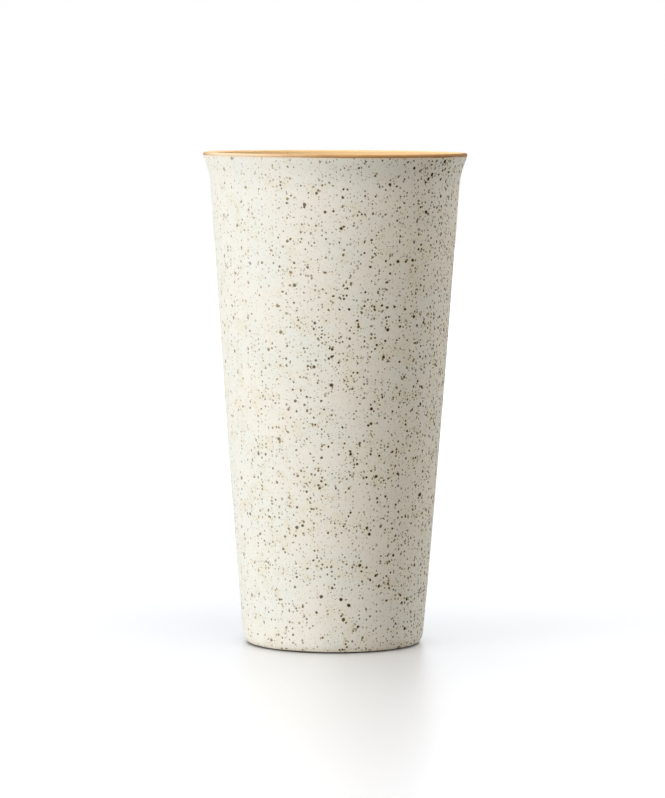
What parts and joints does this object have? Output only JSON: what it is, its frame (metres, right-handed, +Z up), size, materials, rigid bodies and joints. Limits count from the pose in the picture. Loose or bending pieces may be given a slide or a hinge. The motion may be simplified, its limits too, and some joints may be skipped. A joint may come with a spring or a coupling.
{
  "type": "tumbler",
  "caption": "Tall tapering stoneware tumbler with a slightly flared tan-glazed lip, a speckled cream glaze, and a bare clay foot ring round a glazed recess.",
  "frame": {"origin": "middle of the footprint, on the table under the foot ring", "axes": "+Z up along the cup's axis, out of its mouth; +X and +Y lie on the table, and the picture looks along +Y"},
  "size_m": [0.0804, 0.0804, 0.15],
  "materials": {
    "bare_clay": "matte, sanded, dotted with iron",
    "speckled_glaze": "eggshell matte cream with iron specks",
    "tan_glaze": "semi-gloss honey tan",
    "liner_glaze": "satin cream with faint iron specks",
    "base_glaze": "eggshell matte cream with iron specks"
  },
  "bodies": {
    "root": {"clay_body": "bare_clay", "outer_glaze": "speckled_glaze", "rim_band": "tan_glaze", "liner_glaze": "liner_glaze", "base_glaze": "base_glaze"}
  },
  "joints": []
}
